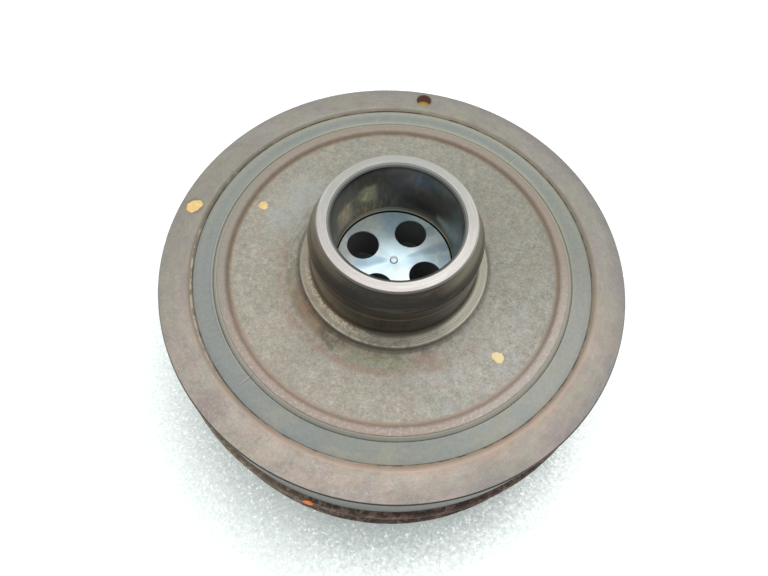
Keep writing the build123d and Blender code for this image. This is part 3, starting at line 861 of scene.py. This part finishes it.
def rubber_relief(points):
    """Slow waves in the moulding, and the two mould seams that cross it."""
    angle = np.degrees(np.arctan2(points[:, 1], points[:, 0])) % 360
    face = step_up(points[:, 2], -1.1, -0.6)
    lift = 0.04 * grain(points, 7, 4) + 0.015 * grain(points, 1.5, 5)
    for seam in SEAM_ANGLES:
        away = (angle - seam) * math.pi / 180 * 75
        bump = 0.12 * np.exp(-((away / 0.35) ** 2))
        lift = lift + bump - 0.05 * np.exp(-(((away - 1.2) / 0.3) ** 2))
    moved = np.zeros_like(points)
    moved[:, 2] = face * lift
    return moved


def pulley_corners():
    corners = [
        (59.5, -24.8), (93.2, -24.8, 0.25), (FLANGE_RADIUS, -25.5, 0.25),
        (FLANGE_RADIUS, -27.3, 0.25), (CREST_RADIUS, -28.2),
    ]
    for rib in range(RIB_COUNT):
        start = -29.1 - RIB_PITCH * rib - 0.375
        corners += [
            (CREST_RADIUS, start), (VALLEY_RADIUS, start - 1.09),
            (VALLEY_RADIUS, start - 1.72), (CREST_RADIUS, start - 2.81),
        ]
    corners += [
        (CREST_RADIUS, -51.36), (FLANGE_RADIUS, -52.26, 0.25), (FLANGE_RADIUS, -54.06, 0.25),
        (93.2, -54.76, 0.25), (85.5, -54.76), (84.0, -53.26), (84.0, -29.8, 1.5),
        (64.5, -29.8, 1.5), (64.5, -47.26), (59.5, -47.26),
    ]
    return corners


def pulley_spacing(middle):
    """Finer on the flanges and the belt track."""
    return 1.0 if middle[0] > 90 else 5


def pulley_relief(points):
    """Rust on the flanges; the belt track and the bores stay true."""
    radius = np.hypot(points[:, 0], points[:, 1])
    rust = step_up(radius, 90.0, 92.5)
    lift = -0.07 - 0.05 * grain(points, 1.2, 6) - 0.05 * grain(points, 3.5, 7)
    outward = points * [1, 1, 0] / radius[:, None]
    return outward * (rust * np.minimum(lift, 0))[:, None]


def drill(target):
    """Cuts the flat-ended blind hole into the ring's rear face, from 2 mm above it."""
    depth = HOLE_DEPTH + 2
    bpy.ops.mesh.primitive_cylinder_add(vertices=64, radius=HOLE_RADIUS * MM, depth=depth * MM)
    cutter = bpy.context.object
    for vertex in cutter.data.vertices:
        vertex.co.z = 2 * MM if vertex.co.z > 0 else -HOLE_DEPTH * MM
    cutter.location = [c * MM for c in on_face(*HOLE_PLACE, RING_FACE_Z)]
    bpy.context.view_layer.update()
    cut = target.modifiers.new("hole", "BOOLEAN")
    cut.object = cutter
    cut.solver = "EXACT"
    bpy.context.view_layer.objects.active = target
    bpy.ops.object.modifier_apply(modifier=cut.name)
    bpy.data.objects.remove(cutter)


def dress(piece, node, material):
    """Gives a piece its material and body, and hides the CAD node that it stands for, if any."""
    piece.data.materials.clear()
    piece.data.materials.append(material)
    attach(piece, "root")
    if node:
        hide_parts(node)


def paint_dab(name, centre, size, tilt, stretch, thickness, seed, material):
    """A thin dried dab of paint with a wandering outline, facing up at the centre."""
    rings, steps = 10, 72
    points = [(0, 0, thickness)]
    for ring in range(1, rings + 1):
        share = ring / rings
        for step in range(steps):
            angle = step * 2 * math.pi / steps
            wave = 1 + 0.10 * math.sin(2 * angle + seed) + 0.06 * math.sin(3 * angle + 2 * seed)
            wave += 0.04 * math.sin(7 * angle + 5 * seed)
            reach = size / 2 * share * wave
            rise = thickness * (1 - share ** 4) if share < 1 else -0.3
            points.append((reach * stretch * math.cos(angle), reach * math.sin(angle), rise))
    faces = [(0, 1 + k, 1 + (k + 1) % steps) for k in range(steps)]
    for ring in range(rings - 1):
        first = 1 + ring * steps
        for k in range(steps):
            after = (k + 1) % steps
            faces.append((first + k, first + steps + k, first + steps + after, first + after))
    last = 1 + (rings - 1) * steps
    faces.append(tuple(last + k for k in reversed(range(steps))))
    mesh = bpy.data.meshes.new(name)
    mesh.from_pydata([[c * MM for c in point] for point in points], [], faces)
    for polygon in mesh.polygons:
        polygon.use_smooth = len(polygon.vertices) < 5
    made = add_object(name, mesh)
    turn = Matrix.Rotation(math.radians(tilt), 4, "Z")
    mesh.transform(Matrix.Translation([c * MM for c in centre]) @ turn)
    dress(made, None, material)
    return made


def build_pieces(frame):
    hub = lathe("hub_casting", hub_corners(), RELIEF_STEPS, hub_spacing, hub_relief)
    dress(hub, "hub", cast_hub())
    ring = lathe("inertia_ring_turned", ring_corners(), PLAIN_STEPS, lambda middle: 3.0)
    drill(ring)
    dress(ring, "inertia_ring", turned_iron())
    damper = lathe(
        "damper_rubber_ring", rubber_corners(), RELIEF_STEPS, rubber_spacing, rubber_relief
    )
    dress(damper, "damper_rubber", damper_rubber())
    pulley = lathe("pulley_turned", pulley_corners(), RELIEF_STEPS, pulley_spacing, pulley_relief)
    dress(pulley, "pulley", pulley_steel())
    kept = {
        "carrier": ("zinc_plated_steel", zinc()),
        "coupling_rubber": ("coupling_rubber", coupling_rubber()),
        "bearing_bush": ("bearing_plastic", plain("bearing_plastic", (52, 52, 54), 0.45)),
    }
    for name in ("rear_thrust_ring", "front_thrust_ring"):
        kept[name] = kept["bearing_bush"]
    for name, (slot, material) in kept.items():
        node = frame["nodes"][name]
        node.data.materials.clear()
        node.data.materials.append(material)


def build_paint():
    yellow = paint("yellow_paint", (255, 213, 132), (255, 242, 190))
    orange = paint("orange_paint", (250, 124, 56), (255, 168, 110))
    left, right = (on_face(*place, WEB_DAB_Z) for place in WEB_DABS)
    paint_dab("paint_on_ring", on_face(*RING_DAB, RING_FACE_Z), 6.25, 28, 1.13, 0.12, 0.7, yellow)
    paint_dab("paint_on_web_left", left, 4.6, 0, 0.88, 0.16, 2.1, yellow)
    paint_dab("paint_on_web_right", right, 4.8, 15, 1.0, 0.16, 3.3, yellow)
    # This one hangs over the flange's edge, so it is made level at the origin and then placed.
    dab = paint_dab("paint_on_flange", (0, 0, 0), 2.3, 0, 1.8, 0.13, 0.4, orange)
    dab.parent = None
    turn = math.radians(FLANGE_DAB[0]) - math.pi / 2
    place = Matrix.Translation([c * MM for c in on_face(*FLANGE_DAB, FLANGE_DAB_Z)])
    place = place @ Matrix.Rotation(turn, 4, "Z")
    place = place @ Matrix.Rotation(math.radians(FLANGE_DAB_TIP), 4, "X")
    dab.data.transform(place)
    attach(dab, "root")


# --- Floor, light and camera ----------------------------------------------------------------------


def build_floor():
    mesh = bpy.data.meshes.new("floor")
    signs = ((-1, -1), (1, -1), (1, 1), (-1, 1))
    corners = [(x * FLOOR_REACH, y * FLOOR_REACH, FLOOR_Z * MM) for x, y in signs]
    mesh.from_pydata(corners, [], [(0, 1, 2, 3)])
    floor = add_object("floor", mesh)
    look = Look("floor", (244, 255, 251), 0.7, 0.0, 0.3)
    look.shade(1.1, 2, 0.87, 1.01, fine=0.6)
    look.raise_by(look.noise(1.6, 3), 0.3)
    material = look.done()
    # The camera, gloss and glass see the floor a little lighter, so that it ends in white.
    path = look.node("ShaderNodeLightPath")
    rays = ("Is Camera Ray", "Is Glossy Ray", "Is Transmission Ray")
    seen = look.either(*(path.outputs[ray] for ray in rays))
    look.join((1, 1, 1, 1), look.shader.inputs["Emission Color"])
    # Distance from the middle of the painted shadow pool round the part, with a ragged edge.
    away = look.vector("ADD", look.place, (1.7, 18.9, 0))
    away = look.vector("LENGTH", look.vector("MULTIPLY", away, (1, 1, 0)))
    ragged = look.ramp(look.noise(1.7, 3, fine=0.8), 0.3, 0.7, -6.0, 6.0)
    grainy = look.math("ADD", away, ragged)
    # Painted shadow: the lift fades out towards the part, farther out on the left than on the
    # right.
    left = look.ramp(grainy, 66, 116)
    front = look.math("SUBTRACT", look.ramp(grainy, 76, 101), left)
    lit = look.math("ADD", left, look.times(front, look.ramp(look.x, -40.0, -5.0)))
    sparkle = look.times(look.ramp(look.noise(1.15, 1), 0.6, 0.71), look.ramp(away, 66, 80), 0.28)
    lift = look.math("ADD", look.times(lit, 0.42), sparkle)
    # Painted light: a faint glow on the floor under the part, where no light reaches.
    under = look.ramp(look.r, 60, 50, 0.0, 0.013)  # what shows through the bolt holes
    lift = look.math("ADD", lift, under)
    look.join(look.times(seen, lift), look.shader.inputs["Emission Strength"])
    mesh.materials.append(material)


def build_light():
    """Even light from a pale room, with one wide soft lamp overhead."""
    world = bpy.data.worlds.new("studio")
    bpy.context.scene.world = world
    world.use_nodes = True
    tree = world.node_tree
    coordinates = tree.nodes.new("ShaderNodeTexCoord")
    split = tree.nodes.new("ShaderNodeSeparateXYZ")
    tree.links.new(coordinates.outputs["Generated"], split.inputs[0])
    rise = tree.nodes.new("ShaderNodeMapRange")
    rise.interpolation_type = "SMOOTHSTEP"
    horizon, overhead = 0.60, 0.83
    for socket, number in zip(rise.inputs, (0.0, 0.1, 1.0, horizon, overhead)):
        socket.default_value = number
    tree.links.new(split.outputs[2], rise.inputs[0])
    tree.links.new(rise.outputs[0], tree.nodes["Background"].inputs["Strength"])
    tree.nodes["Background"].inputs["Color"].default_value = (0.97, 0.99, 1.0, 1)
    lamp = bpy.data.lights.new("softbox", "AREA")
    lamp.shape = "DISK"
    lamp.size = 1.1
    lamp.energy = 2.7
    lamp.color = (1.0, 0.985, 0.96)
    made = add_object("softbox", lamp)
    made.location = LAMP_PLACE
    made.rotation_euler = (-made.location).to_track_quat("-Z", "Y").to_euler()


def aim_camera():
    """Looks down at the collar from the near side, about 22 cm from the ring's centre."""
    data = bpy.data.cameras.new("camera")
    data.sensor_width = 36
    data.lens = FOCAL_PIXELS / PICTURE_WIDTH * data.sensor_width
    data.clip_start = 0.01
    camera = add_object("camera", data)
    place = Vector(CAMERA_PLACE)
    forward = (Vector((0, 0, RING_FACE_Z)) - place).normalized()
    right = Vector((1, 0, 0))
    up = right.cross(forward)
    yaw = Matrix.Rotation(CAMERA_YAW, 3, up)
    forward, right = yaw @ forward, yaw @ right
    pitch = Matrix.Rotation(CAMERA_PITCH, 3, right)
    forward, up = pitch @ forward, pitch @ up
    side = right * math.cos(CAMERA_ROLL) + up * math.sin(CAMERA_ROLL)
    top = up * math.cos(CAMERA_ROLL) - right * math.sin(CAMERA_ROLL)
    basis = Matrix((side, top, -forward)).transposed().to_4x4()
    camera.matrix_world = Matrix.Translation(place * MM) @ basis
    bpy.context.scene.camera = camera


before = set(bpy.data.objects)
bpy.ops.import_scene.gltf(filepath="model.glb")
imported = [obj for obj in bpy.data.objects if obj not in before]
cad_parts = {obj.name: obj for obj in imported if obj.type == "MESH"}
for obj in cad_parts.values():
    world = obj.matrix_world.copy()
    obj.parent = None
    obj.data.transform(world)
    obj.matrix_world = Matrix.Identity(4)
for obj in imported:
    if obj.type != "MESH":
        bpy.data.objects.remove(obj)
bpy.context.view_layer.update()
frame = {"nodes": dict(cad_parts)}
build_pieces(frame)
build_paint()
build_floor()
build_light()
aim_camera()
bpy.context.scene.view_settings.view_transform = "Standard"
